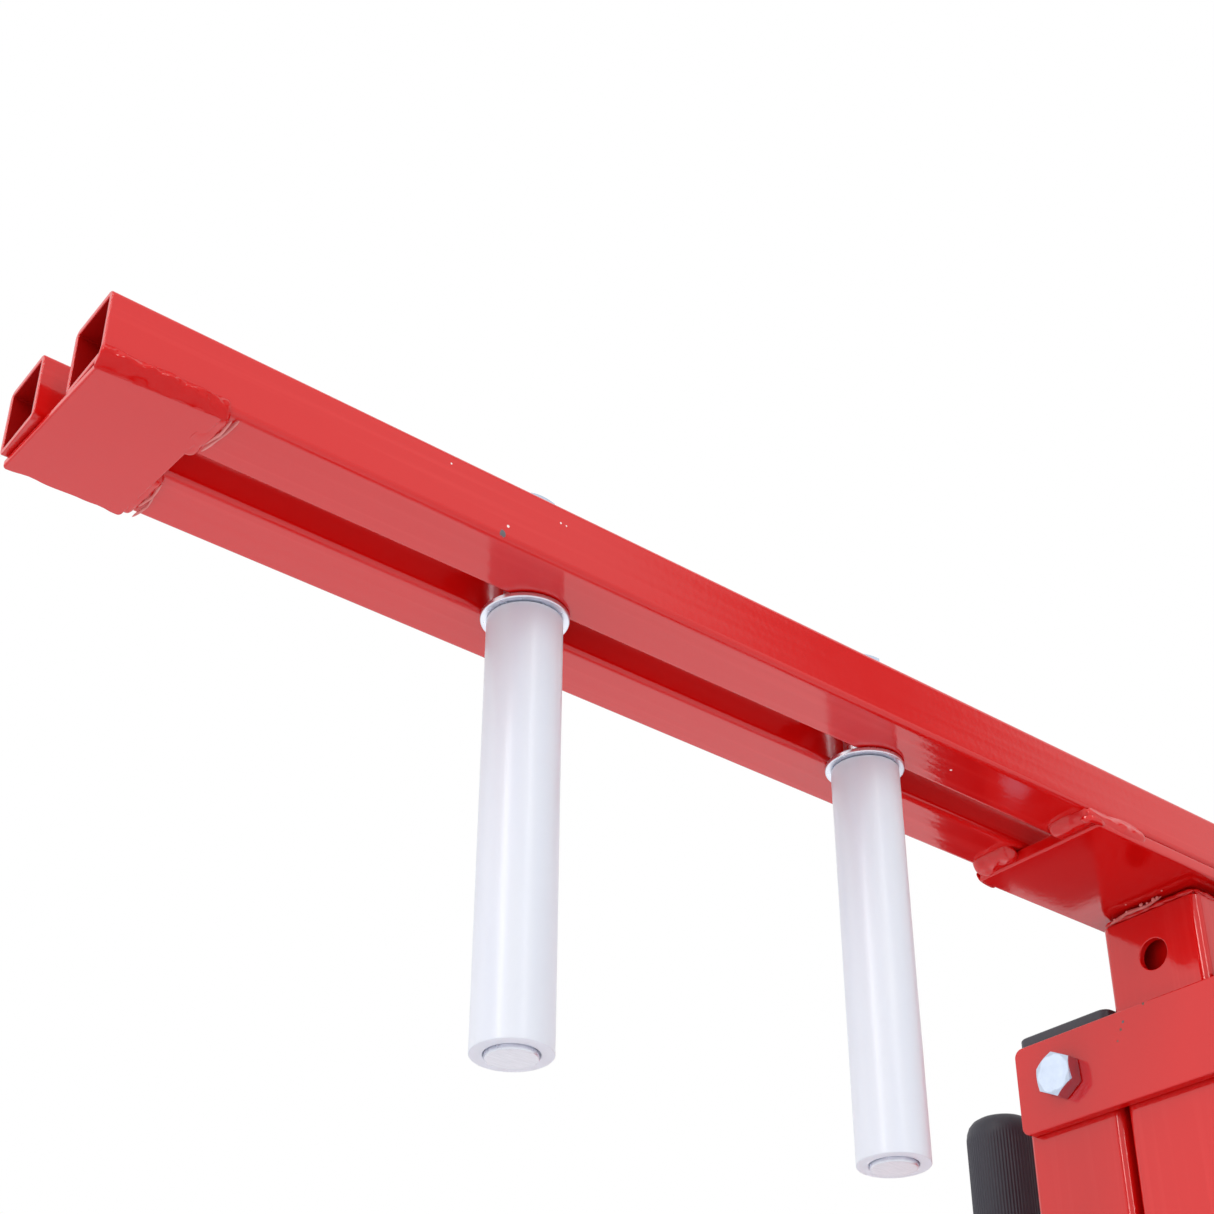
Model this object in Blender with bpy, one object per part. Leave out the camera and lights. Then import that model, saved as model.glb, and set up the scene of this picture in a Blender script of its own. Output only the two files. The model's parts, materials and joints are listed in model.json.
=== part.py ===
"""Post driver: a boom on a telescoping mast, with two sleeved pins that straddle the post.

Metres, +X forward along the boom, +Y left, +Z up, floor at Z = 0.
The row origin is the centre of the footprint on the floor.
"""

import math

import bmesh
import bpy
from mathutils import Matrix

for old in list(bpy.data.objects):
    bpy.data.objects.remove(old, do_unlink=True)

# ---------------------------------------------------------------- dimensions
MAST_X = -0.1496          # mast axis, in the row frame
BOOM_Z = 1.1500           # underside of the boom with the ram post lowered
GAP = 0.0003              # clearance between touching pieces

TUBE = 0.0250             # boom tube, square
TUBE_WALL = 0.0020
TUBE_R = 0.0025
SLOT = 0.0130             # slot between the two boom tubes
BOOM_FRONT_LEFT = 0.5310  # from the mast axis; the two tubes are cut a little differently
BOOM_FRONT_RIGHT = 0.5350
BOOM_REAR = -0.0450

END_FRONT = 0.5335        # plate under the boom's free end
END_LENGTH = 0.0420
END_THICK = 0.0030
END_STANDOFF = 0.0010     # filled by the weld
SADDLE_FRONT = 0.0960
SADDLE_REAR = -0.0400
SADDLE_WIDTH = 0.0640
SADDLE_THICK = 0.0060

POST = 0.0500             # mast tubes and ram post, square
POST_WALL = 0.0030
POST_R = 0.0040
POST_SPACING = 0.0530     # between neighbouring axes
RAM_TOP = -0.0108         # below the boom's underside
RAM_LID = 0.0042
RAM_HOLE_R = 0.0070
RAM_HOLE_Z = -0.0310
MAST_TOP = -0.0515        # below the boom's underside
CAP_FLANGE = 0.0052
CAP_PLUG = 0.0150

BAR_HEIGHT = 0.0400       # guide plates
BAR_THICK = 0.0050
BAR_WIDTH = 0.1530
BAR_Z = -0.0730           # upper pair, below the boom's underside
STRAP_Z = 0.5000          # lower pair, above the floor
BOLT_R = 0.0060           # M12
BOLT_Y = 0.0505           # from the middle plane
BOLT_AF = 0.0180
BOLT_HEAD = 0.0075
NUT_HEIGHT = 0.0108
LOCK_NUT_HEIGHT = 0.0080
CHAMFER = 0.0010
THREAD_GAP = 0.00015

PIN_X = (0.3590, 0.1955)  # front and rear pin, from the mast axis
PIN_END = -0.1615         # below the boom's underside
PIN_R = 0.0085
PIN_KEY_R = 0.0077
PIN_KEY_FLAT = 0.0063
SLEEVE_R = 0.0132
SLEEVE_BORE_R = 0.0095
SLEEVE_END = -0.1605
WASHER_R = 0.0154
WASHER_THICK = 0.0020
STUD_TOP = 0.0490
LOCK_NUT_TURN = (30.0, 12.0)   # degrees, front and rear

GRIP_X = -0.0120          # from the mast axis
GRIP_Y = 0.1228
GRIP_TOP = -0.0625        # below the boom's underside
GRIP_R = 0.0170
GRIP_LENGTH = 0.1200
HANDLE_R = 0.0110
HANDLE_WALL = 0.0020
HANDLE_BEND = 0.0300
HANDLE_DROP = 0.2000      # from the grip's top to the lower run

LEG = 0.0400              # square tube
LEG_WALL = 0.0025
LEG_R = 0.0040
LEG_Y = 0.1700
LEG_FRONT = 0.4800
LEG_REAR = -0.1500
FOOT_R = 0.0200
FOOT_HEIGHT = 0.0180
FOOT_X = (0.4400, -0.1000)
PLATE_X = 0.1300
PLATE_Y = 0.2000
PLATE_THICK = 0.0080
BUFFER = 0.0400
BUFFER_HEIGHT = 0.0120

WHEEL_R = 0.0500
WHEEL_WIDTH = 0.0280
HUB_R = 0.0320
WHEEL_X = -0.1860
WHEEL_Z = 0.0560
BRACKET_THICK = 0.0050

RED = (0.66, 0.03, 0.025)
ZINC = (0.62, 0.63, 0.66)
BLACK = (0.035, 0.035, 0.04)
RUBBER = (0.02, 0.02, 0.022)
CLEAR = (0.86, 0.87, 0.92)
HUB_GREY = (0.30, 0.31, 0.33)


# ------------------------------------------------------------------- helpers
def paint(name, colour, roughness, metallic):
    """A plain material of its own for one piece."""
    material = bpy.data.materials.new(name)
    material.use_nodes = True
    shader = material.node_tree.nodes["Principled BSDF"]
    shader.inputs["Base Color"].default_value = (*colour, 1.0)
    shader.inputs["Roughness"].default_value = roughness
    shader.inputs["Metallic"].default_value = metallic
    material.diffuse_color = (*colour, 1.0)
    return material


FINISH = {
    "red": (RED, 0.25, 0.0),
    "zinc": (ZINC, 0.35, 1.0),
    "black": (BLACK, 0.45, 0.0),
    "rubber": (RUBBER, 0.75, 0.0),
    "clear": (CLEAR, 0.30, 0.0),
    "hub": (HUB_GREY, 0.40, 0.0),
}


def finish(name, mesh_builder, location, look, smooth=False):
    """Turn a bmesh into a named object with its own material."""
    bmesh.ops.recalc_face_normals(mesh_builder, faces=mesh_builder.faces)
    mesh = bpy.data.meshes.new(name)
    mesh_builder.to_mesh(mesh)
    mesh_builder.free()
    if smooth:
        for face in mesh.polygons:
            face.use_smooth = True
        mesh.set_sharp_from_angle(angle=math.radians(35.0))
    thing = bpy.data.objects.new(name, mesh)
    bpy.context.scene.collection.objects.link(thing)
    thing.location = (location[0] + MAST_X, location[1], location[2])
    mesh.materials.append(paint(name, *FINISH[look]))
    return thing


def loft(rings, closed=False):
    """Skin a row of rings that all have the same number of points."""
    builder = bmesh.new()
    rows = [[builder.verts.new(point) for point in ring] for ring in rings]
    count = len(rows[0])
    last = len(rows) if closed else len(rows) - 1
    for index in range(last):
        here = rows[index]
        there = rows[(index + 1) % len(rows)]
        for step in range(count):
            other = (step + 1) % count
            builder.faces.new((here[step], here[other], there[other], there[step]))
    if not closed:
        builder.faces.new(rows[0])
        builder.faces.new(list(reversed(rows[-1])))
    return builder


def circle(radius, z, count=32):
    """A level ring of points."""
    turn = 2.0 * math.pi / count
    return [(radius * math.cos(turn * i), radius * math.sin(turn * i), z) for i in range(count)]


def flatted(radius, flat, z, count=32):
    """A circle cut back by two flats that face +Y and -Y."""
    return [(x, max(-flat, min(flat, y)), z) for x, y, z in circle(radius, z, count)]


def hexagon(across, z, count=24):
    """A hexagon drawn with the same number of points as a circle."""
    ring = []
    for i in range(count):
        angle = 2.0 * math.pi * i / count
        inside = (angle + math.pi / 6.0) % (math.pi / 3.0) - math.pi / 6.0
        radius = 0.5 * across / math.cos(inside)
        ring.append((radius * math.cos(angle), radius * math.sin(angle), z))
    return ring


def turned(ring, phase):
    """A ring turned about Z."""
    c = math.cos(phase)
    s = math.sin(phase)
    return [(c * x - s * y, s * x + c * y, z) for x, y, z in ring]


def rounded(width, depth, radius, z, steps=3):
    """A level rectangle with rounded corners."""
    ring = []
    for corner in range(4):
        cx = (0.5 * width - radius) * (1 if corner in (0, 3) else -1)
        cy = (0.5 * depth - radius) * (1 if corner in (0, 1) else -1)
        for step in range(steps + 1):
            angle = math.pi / 2.0 * (corner + step / steps)
            ring.append((cx + radius * math.cos(angle), cy + radius * math.sin(angle), z))
    return ring


def tube(width, depth, radius, wall, length, steps=3):
    """An open-ended square tube along Z, from Z = 0 up."""
    inner = max(radius - wall, 0.0006)
    outside = rounded(width, depth, radius, 0.0, steps)
    inside = rounded(width - 2 * wall, depth - 2 * wall, inner, 0.0, steps)
    outside_top = [(x, y, length) for x, y, _ in outside]
    inside_top = [(x, y, length) for x, y, _ in inside]
    return loft([outside, outside_top, inside_top, inside], closed=True)


def lay_along_x(builder):
    """Turn a piece built along Z so that it runs along +X."""
    builder.transform(Matrix.Rotation(math.radians(90.0), 4, "Y"))
    return builder


def lay_along_y(builder):
    """Turn a piece built along Z so that it runs along +Y."""
    builder.transform(Matrix.Rotation(math.radians(-90.0), 4, "X"))
    return builder


def cut_holes(thing, places, radius, axis, depth):
    """Drill round holes through a piece; places are relative to its origin."""
    for number, place in enumerate(places):
        builder = loft([circle(radius, -0.5 * depth, 24), circle(radius, 0.5 * depth, 24)])
        if axis == "X":
            lay_along_x(builder)
        if axis == "Y":
            lay_along_y(builder)
        bmesh.ops.recalc_face_normals(builder, faces=builder.faces)
        mesh = bpy.data.meshes.new(f"{thing.name}_drill_{number}")
        builder.to_mesh(mesh)
        builder.free()
        cutter = bpy.data.objects.new(mesh.name, mesh)
        bpy.context.scene.collection.objects.link(cutter)
        cutter.location = [a + b for a, b in zip(thing.location, place)]
        cutter.hide_render = True
        cutter.display_type = "WIRE"
        drill = thing.modifiers.new(f"drill_{number}", "BOOLEAN")
        drill.operation = "DIFFERENCE"
        drill.solver = "EXACT"
        drill.object = cutter


def hex_bolt(length, phase=0.0):
    """Head from Z = 0 up, shank down from it."""
    rings = [
        circle(0.475 * BOLT_AF, BOLT_HEAD, 24),
        hexagon(BOLT_AF, BOLT_HEAD - CHAMFER),
        hexagon(BOLT_AF, 0.0),
        circle(BOLT_R, 0.0, 24),
        circle(BOLT_R, CHAMFER - length, 24),
        circle(BOLT_R - CHAMFER, -length, 24),
    ]
    return loft([turned(ring, phase) for ring in rings])


def hex_nut(height, phase=0.0):
    """A nut from Z = 0 up."""
    bore = BOLT_R + THREAD_GAP
    rings = [
        circle(bore, 0.0, 24),
        circle(0.475 * BOLT_AF, 0.0, 24),
        hexagon(BOLT_AF, CHAMFER),
        hexagon(BOLT_AF, height - CHAMFER),
        circle(0.475 * BOLT_AF, height, 24),
        circle(bore, height, 24),
    ]
    return loft([turned(ring, phase) for ring in rings], closed=True)


def ring_solid(inner, outer, bottom, top, count=32):
    """A plain round ring."""
    rings = [
        circle(inner, bottom, count),
        circle(outer, bottom, count),
        circle(outer, top, count),
        circle(inner, top, count),
    ]
    return loft(rings, closed=True)


def flat_bar(width, height, thick, radius, steps=4):
    """A plate across Y and up Z, its rear face at X = 0 and its front face at +X."""
    rings = [rounded(height, width, radius, 0.0, steps), rounded(height, width, radius, thick, steps)]
    return lay_along_x(loft(rings))


# ---------------------------------------------------------------------- boom
tube_y = 0.5 * (SLOT + TUBE)
for side, sign, tip in (("left", 1, BOOM_FRONT_LEFT), ("right", -1, BOOM_FRONT_RIGHT)):
    finish(
        f"boom_tube_{side}",
        lay_along_x(tube(TUBE, TUBE, TUBE_R, TUBE_WALL, tip - BOOM_REAR)),
        (BOOM_REAR, sign * tube_y, BOOM_Z + 0.5 * TUBE),
        "red",
    )

boom_width = SLOT + 2 * TUBE
finish(
    "end_plate",
    loft([rounded(END_LENGTH, boom_width, 0.0015, z) for z in (-END_THICK, 0.0)]),
    (END_FRONT - 0.5 * END_LENGTH, 0.0, BOOM_Z - END_STANDOFF),
    "red",
)

saddle_length = SADDLE_FRONT - SADDLE_REAR
finish(
    "saddle_plate",
    loft([rounded(saddle_length, SADDLE_WIDTH, 0.0015, z) for z in (-SADDLE_THICK, 0.0)]),
    (0.5 * (SADDLE_FRONT + SADDLE_REAR), 0.0, BOOM_Z - GAP),
    "red",
)

# ------------------------------------------------------------------ ram post
LEG_TOP = FOOT_HEIGHT + GAP + LEG
PLATE_TOP = LEG_TOP + GAP + PLATE_THICK
BUFFER_TOP = PLATE_TOP + GAP + BUFFER_HEIGHT
ram_bottom = BUFFER_TOP + GAP
ram_top = BOOM_Z + RAM_TOP
ram_length = ram_top - ram_bottom
lid = 0.0440

outer = rounded(POST, POST, POST_R, 0.0)
bore = rounded(POST - 2 * POST_WALL, POST - 2 * POST_WALL, 0.0010, 0.0)
neck = rounded(lid, lid, 0.0030, 0.0)


def at(ring, z):
    """The same ring at another height."""
    return [(x, y, z) for x, y, _ in ring]


ram = finish(
    "ram_post",
    loft(
        [
            at(bore, ram_length - 0.0030),
            at(bore, 0.0),
            at(outer, 0.0),
            at(outer, ram_length),
            at(neck, ram_length),
            at(neck, ram_length + RAM_LID - GAP),
        ]
    ),
    (0.0, 0.0, ram_bottom),
    "red",
)
cut_holes(ram, [(0.0, 0.0, BOOM_Z + RAM_HOLE_Z - ram_bottom)], RAM_HOLE_R, "X", 0.080)

# ---------------------------------------------------------------------- mast
mast_bottom = PLATE_TOP + GAP
mast_top = BOOM_Z + MAST_TOP
bar_z = BOOM_Z + BAR_Z
for side, sign in (("left", 1), ("right", -1)):
    mast = finish(
        f"mast_tube_{side}",
        tube(POST, POST, POST_R, POST_WALL, mast_top - mast_bottom),
        (0.0, sign * POST_SPACING, mast_bottom),
        "red",
    )
    hole = (0.0, sign * (BOLT_Y - POST_SPACING), bar_z - mast_bottom)
    cut_holes(mast, [hole], BOLT_R + 0.0003, "X", 0.080)

    plug = POST - 2 * POST_WALL - 2 * GAP
    finish(
        f"mast_cap_{side}",
        loft(
            [
                rounded(POST - 0.0020, POST - 0.0020, POST_R, CAP_FLANGE),
                rounded(POST, POST, POST_R, CAP_FLANGE - 0.0010),
                rounded(POST, POST, POST_R, 0.0),
                rounded(plug, plug, 0.0014, 0.0),
                rounded(plug - 0.0010, plug - 0.0010, 0.0014, -CAP_PLUG),
            ]
        ),
        (0.0, sign * POST_SPACING, mast_top + GAP),
        "black",
    )

plate_names = (
    ("front_plate", bar_z, 1),
    ("rear_plate", bar_z, -1),
    ("lower_strap_front", STRAP_Z, 1),
    ("lower_strap_rear", STRAP_Z, -1),
)
for name, height, sign in plate_names:
    start = 0.5 * POST + GAP if sign > 0 else -0.5 * POST - GAP - BAR_THICK
    bar = finish(
        name,
        flat_bar(BAR_WIDTH, BAR_HEIGHT, BAR_THICK, 0.0040),
        (start, 0.0, height),
        "red",
    )
    if height == bar_z:
        holes = [(0.5 * BAR_THICK, BOLT_Y * y, 0.0) for y in (-1, 1)]
        cut_holes(bar, holes, BOLT_R + 0.0003, "X", 0.030)

bar_face = 0.5 * POST + GAP + BAR_THICK + GAP
for side, sign in (("left", 1), ("right", -1)):
    finish(
        f"bolt_{side}",
        lay_along_x(hex_bolt(2 * bar_face + NUT_HEIGHT + 0.0040, math.radians(33.0))),
        (bar_face, sign * BOLT_Y, bar_z),
        "zinc",
    )
    finish(
        f"nut_{side}",
        lay_along_x(hex_nut(NUT_HEIGHT)),
        (-bar_face - NUT_HEIGHT, sign * BOLT_Y, bar_z),
        "zinc",
    )


# ------------------------------------------------------------------- handles
def handle(sign):
    """Bent tube: out of the mast's side, then straight up."""
    reach = GRIP_Y - (POST_SPACING + 0.5 * POST + GAP)
    rise = HANDLE_DROP - 0.0060
    rings = []
    for radius, flip in ((HANDLE_R, False), (HANDLE_R - HANDLE_WALL, True)):
        run = []
        base = circle(radius, 0.0, 20)
        run.append([(x, 0.0, z) for x, z, _ in base])
        for step in range(7):
            angle = math.pi / 2.0 * step / 6
            cy = reach - HANDLE_BEND + HANDLE_BEND * math.sin(angle)
            cz = HANDLE_BEND - HANDLE_BEND * math.cos(angle)
            ring = []
            for x, v, _ in base:
                ring.append((x, cy - v * math.sin(angle), cz + v * math.cos(angle)))
            run.append(ring)
        run.append([(x, reach - v, rise) for x, v, _ in base])
        rings.extend(reversed(run) if flip else run)
    rings = [[(x, sign * y, z) for x, y, z in ring] for ring in rings]
    return loft(rings, closed=True)


for side, sign in (("left", 1), ("right", -1)):
    low = BOOM_Z + GRIP_TOP - HANDLE_DROP
    finish(
        f"handle_{side}",
        handle(sign),
        (GRIP_X, sign * (POST_SPACING + 0.5 * POST + GAP), low),
        "red",
        smooth=True,
    )
    bore_r = HANDLE_R + GAP
    finish(
        f"grip_{side}",
        loft(
            [
                circle(0.0030, 0.0, 32),
                circle(0.0090, -0.0006, 32),
                circle(0.0140, -0.0028, 32),
                circle(0.0163, -0.0062, 32),
                circle(GRIP_R, -0.0110, 32),
                circle(GRIP_R, -GRIP_LENGTH, 32),
                circle(bore_r, -GRIP_LENGTH, 32),
                circle(bore_r, -0.0055, 32),
            ]
        ),
        (GRIP_X, sign * GRIP_Y, BOOM_Z + GRIP_TOP),
        "rubber",
        smooth=True,
    )

# ---------------------------------------------------------------------- pins
stack = BOOM_Z + TUBE + GAP
for name, x, turn in zip(("front", "rear"), PIN_X, LOCK_NUT_TURN):
    finish(
        f"pin_{name}",
        loft(
            [
                circle(PIN_R - 0.0006, PIN_END, 32),
                circle(PIN_R, PIN_END + 0.0006, 32),
                circle(PIN_R, -GAP - WASHER_THICK - GAP, 32),
                flatted(PIN_KEY_R, PIN_KEY_FLAT, -GAP - WASHER_THICK - GAP, 32),
                flatted(PIN_KEY_R, PIN_KEY_FLAT, TUBE - 0.0020, 32),
                circle(BOLT_R, TUBE - 0.0020, 32),
                circle(BOLT_R, STUD_TOP - 0.0010, 32),
                circle(BOLT_R - 0.0010, STUD_TOP, 32),
            ]
        ),
        (x, 0.0, BOOM_Z),
        "zinc",
        smooth=True,
    )
    finish(
        f"pin_washer_{name}",
        ring_solid(PIN_KEY_R + GAP, WASHER_R, -WASHER_THICK, 0.0),
        (x, 0.0, BOOM_Z - GAP),
        "zinc",
        smooth=True,
    )
    finish(
        f"sleeve_{name}",
        ring_solid(SLEEVE_BORE_R, SLEEVE_R, SLEEVE_END, -2 * GAP - WASHER_THICK, 40),
        (x, 0.0, BOOM_Z),
        "clear",
        smooth=True,
    )
    finish(
        f"top_washer_{name}",
        ring_solid(BOLT_R + GAP, WASHER_R, 0.0, WASHER_THICK),
        (x, 0.0, stack),
        "zinc",
        smooth=True,
    )
    nut_z = stack + WASHER_THICK + GAP
    finish(f"pin_nut_{name}", hex_nut(NUT_HEIGHT, math.radians(12.0)), (x, 0.0, nut_z), "zinc")
    lock_z = nut_z + NUT_HEIGHT + GAP
    lock_nut = hex_nut(LOCK_NUT_HEIGHT, math.radians(turn))
    finish(f"lock_nut_{name}", lock_nut, (x, 0.0, lock_z), "zinc")

# ---------------------------------------------------------------------- base
finish(
    "cross_beam",
    lay_along_y(tube(LEG, LEG, LEG_R, LEG_WALL, 2 * LEG_Y - LEG - 2 * GAP)),
    (0.0, -LEG_Y + 0.5 * LEG + GAP, FOOT_HEIGHT + GAP + 0.5 * LEG),
    "red",
)
finish(
    "base_plate",
    loft([rounded(PLATE_X, PLATE_Y, 0.0080, z) for z in (0.0, PLATE_THICK)]),
    (0.0, 0.0, LEG_TOP + GAP),
    "red",
)
finish(
    "buffer",
    loft([rounded(BUFFER, BUFFER, 0.0060, z) for z in (0.0, BUFFER_HEIGHT)]),
    (0.0, 0.0, PLATE_TOP + GAP),
    "rubber",
)

leg_z = FOOT_HEIGHT + GAP + 0.5 * LEG
leg_plug = LEG - 2 * LEG_WALL - 2 * GAP
for side, sign in (("left", 1), ("right", -1)):
    finish(
        f"leg_{side}",
        lay_along_x(tube(LEG, LEG, LEG_R, LEG_WALL, LEG_FRONT - LEG_REAR)),
        (LEG_REAR, sign * LEG_Y, leg_z),
        "red",
    )
    for end, x, way in (("front", LEG_FRONT, 1), ("rear", LEG_REAR, -1)):
        cap = loft(
            [
                rounded(LEG - 0.0020, LEG - 0.0020, LEG_R, 0.0040),
                rounded(LEG, LEG, LEG_R, 0.0030),
                rounded(LEG, LEG, LEG_R, 0.0),
                rounded(leg_plug, leg_plug, 0.0014, 0.0),
                rounded(leg_plug - 0.0010, leg_plug - 0.0010, 0.0014, -CAP_PLUG),
            ]
        )
        lay_along_x(cap)
        if way < 0:
            cap.transform(Matrix.Rotation(math.pi, 4, "Z"))
        finish(f"leg_cap_{side}_{end}", cap, (x + way * GAP, sign * LEG_Y, leg_z), "black")
    for end, x in zip(("front", "rear"), FOOT_X):
        finish(
            f"foot_{side}_{end}",
            loft(
                [
                    circle(FOOT_R, 0.0, 28),
                    circle(FOOT_R, 0.0100, 28),
                    circle(0.8 * FOOT_R, FOOT_HEIGHT, 28),
                ]
            ),
            (x, sign * LEG_Y, 0.0),
            "rubber",
            smooth=True,
        )

    inner_face = LEG_Y + 0.5 * LEG + GAP
    bracket = loft([rounded(0.0500, 0.1150, 0.0120, z, 4) for z in (0.0, BRACKET_THICK)])
    bracket.transform(Matrix.Rotation(math.pi / 2.0, 4, "Z"))
    lay_along_y(bracket)
    if sign < 0:
        bracket.transform(Matrix.Rotation(math.pi, 4, "Z"))
    thing = finish(
        f"wheel_bracket_{side}",
        bracket,
        (WHEEL_X + 0.0350, sign * inner_face, WHEEL_Z),
        "red",
    )
    hole = (-0.0350, sign * 0.5 * BRACKET_THICK, 0.0)
    cut_holes(thing, [hole], BOLT_R + 0.0003, "Y", 0.030)

    wheel_y = inner_face + BRACKET_THICK + 0.0030 + 0.5 * WHEEL_WIDTH
    tyre_rings = [
        circle(HUB_R + GAP, -0.5 * WHEEL_WIDTH + 0.0010, 36),
        circle(WHEEL_R - 0.0050, -0.5 * WHEEL_WIDTH + 0.0010, 36),
        circle(WHEEL_R, -0.5 * WHEEL_WIDTH + 0.0060, 36),
        circle(WHEEL_R, 0.5 * WHEEL_WIDTH - 0.0060, 36),
        circle(WHEEL_R - 0.0050, 0.5 * WHEEL_WIDTH - 0.0010, 36),
        circle(HUB_R + GAP, 0.5 * WHEEL_WIDTH - 0.0010, 36),
    ]
    finish(
        f"wheel_tyre_{side}",
        lay_along_y(loft(tyre_rings, closed=True)),
        (WHEEL_X, sign * wheel_y, WHEEL_Z),
        "rubber",
        smooth=True,
    )
    web = 0.0040
    hub_rings = [
        circle(BOLT_R + 0.0001, -0.5 * WHEEL_WIDTH, 36),
        circle(0.0120, -0.5 * WHEEL_WIDTH, 36),
        circle(0.0125, -web, 36),
        circle(0.0270, -web, 36),
        circle(0.0275, -0.5 * WHEEL_WIDTH + 0.0020, 36),
        circle(HUB_R, -0.5 * WHEEL_WIDTH + 0.0020, 36),
        circle(HUB_R, 0.5 * WHEEL_WIDTH - 0.0020, 36),
        circle(0.0275, 0.5 * WHEEL_WIDTH - 0.0020, 36),
        circle(0.0270, web, 36),
        circle(0.0125, web, 36),
        circle(0.0120, 0.5 * WHEEL_WIDTH, 36),
        circle(BOLT_R + 0.0001, 0.5 * WHEEL_WIDTH, 36),
    ]
    finish(
        f"wheel_hub_{side}",
        lay_along_y(loft(hub_rings, closed=True)),
        (WHEEL_X, sign * wheel_y, WHEEL_Z),
        "hub",
        smooth=True,
    )

    head_y = wheel_y + 0.5 * WHEEL_WIDTH + GAP
    shank = head_y - inner_face + NUT_HEIGHT + 0.0040
    bolt = lay_along_y(hex_bolt(shank))
    nut = lay_along_y(hex_nut(NUT_HEIGHT))
    if sign < 0:
        bolt.transform(Matrix.Rotation(math.pi, 4, "Z"))
        nut.transform(Matrix.Rotation(math.pi, 4, "Z"))
    finish(f"axle_bolt_{side}", bolt, (WHEEL_X, sign * head_y, WHEEL_Z), "zinc")
    nut_y = inner_face - GAP - NUT_HEIGHT
    finish(f"axle_nut_{side}", nut, (WHEEL_X, sign * nut_y, WHEEL_Z), "zinc")
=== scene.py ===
"""Looks of the post driver: finer meshes, weld beads, materials, studio and camera.

Metres, +X along the boom, +Y left, +Z up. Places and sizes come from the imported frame.
"""

import json
import math

import bmesh
import bpy
from mathutils import Matrix, Vector, noise


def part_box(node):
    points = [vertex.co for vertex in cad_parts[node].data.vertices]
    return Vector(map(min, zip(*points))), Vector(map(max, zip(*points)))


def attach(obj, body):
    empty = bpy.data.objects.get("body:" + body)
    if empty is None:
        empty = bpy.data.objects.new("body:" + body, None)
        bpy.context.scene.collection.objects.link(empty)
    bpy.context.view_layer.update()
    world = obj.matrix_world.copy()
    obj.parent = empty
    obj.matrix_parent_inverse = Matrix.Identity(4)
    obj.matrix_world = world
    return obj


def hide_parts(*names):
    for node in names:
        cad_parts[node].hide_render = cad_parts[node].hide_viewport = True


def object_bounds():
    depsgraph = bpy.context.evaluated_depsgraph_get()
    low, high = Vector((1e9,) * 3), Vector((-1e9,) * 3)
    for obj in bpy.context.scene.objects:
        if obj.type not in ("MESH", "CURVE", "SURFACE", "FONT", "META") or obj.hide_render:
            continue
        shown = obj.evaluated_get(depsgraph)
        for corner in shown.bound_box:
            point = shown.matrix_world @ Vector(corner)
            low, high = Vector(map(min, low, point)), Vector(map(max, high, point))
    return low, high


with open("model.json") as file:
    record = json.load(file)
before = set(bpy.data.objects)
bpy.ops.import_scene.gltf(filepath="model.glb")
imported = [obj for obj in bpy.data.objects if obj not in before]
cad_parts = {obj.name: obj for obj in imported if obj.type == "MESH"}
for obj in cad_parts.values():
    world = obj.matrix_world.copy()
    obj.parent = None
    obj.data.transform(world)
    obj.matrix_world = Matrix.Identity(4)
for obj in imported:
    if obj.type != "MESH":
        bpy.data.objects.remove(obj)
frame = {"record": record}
cad_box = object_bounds()

SIDES = (("left", 1), ("right", -1))
ENDS = ("front", "rear")
MM = 0.001

ram_low, ram_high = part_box("ram_post")
tube_low, tube_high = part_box("boom_tube_left")
MAST_X = 0.5 * (ram_low.x + ram_high.x)
BOOM_Z = tube_low.z


def at(x, y, z):
    """A point given in millimetres from the mast's axis and the boom's underside."""
    return (MAST_X + x * MM, y * MM, BOOM_Z + z * MM)


# ------------------------------------------------------------------ materials
SLOT_MATERIAL = {}


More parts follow.
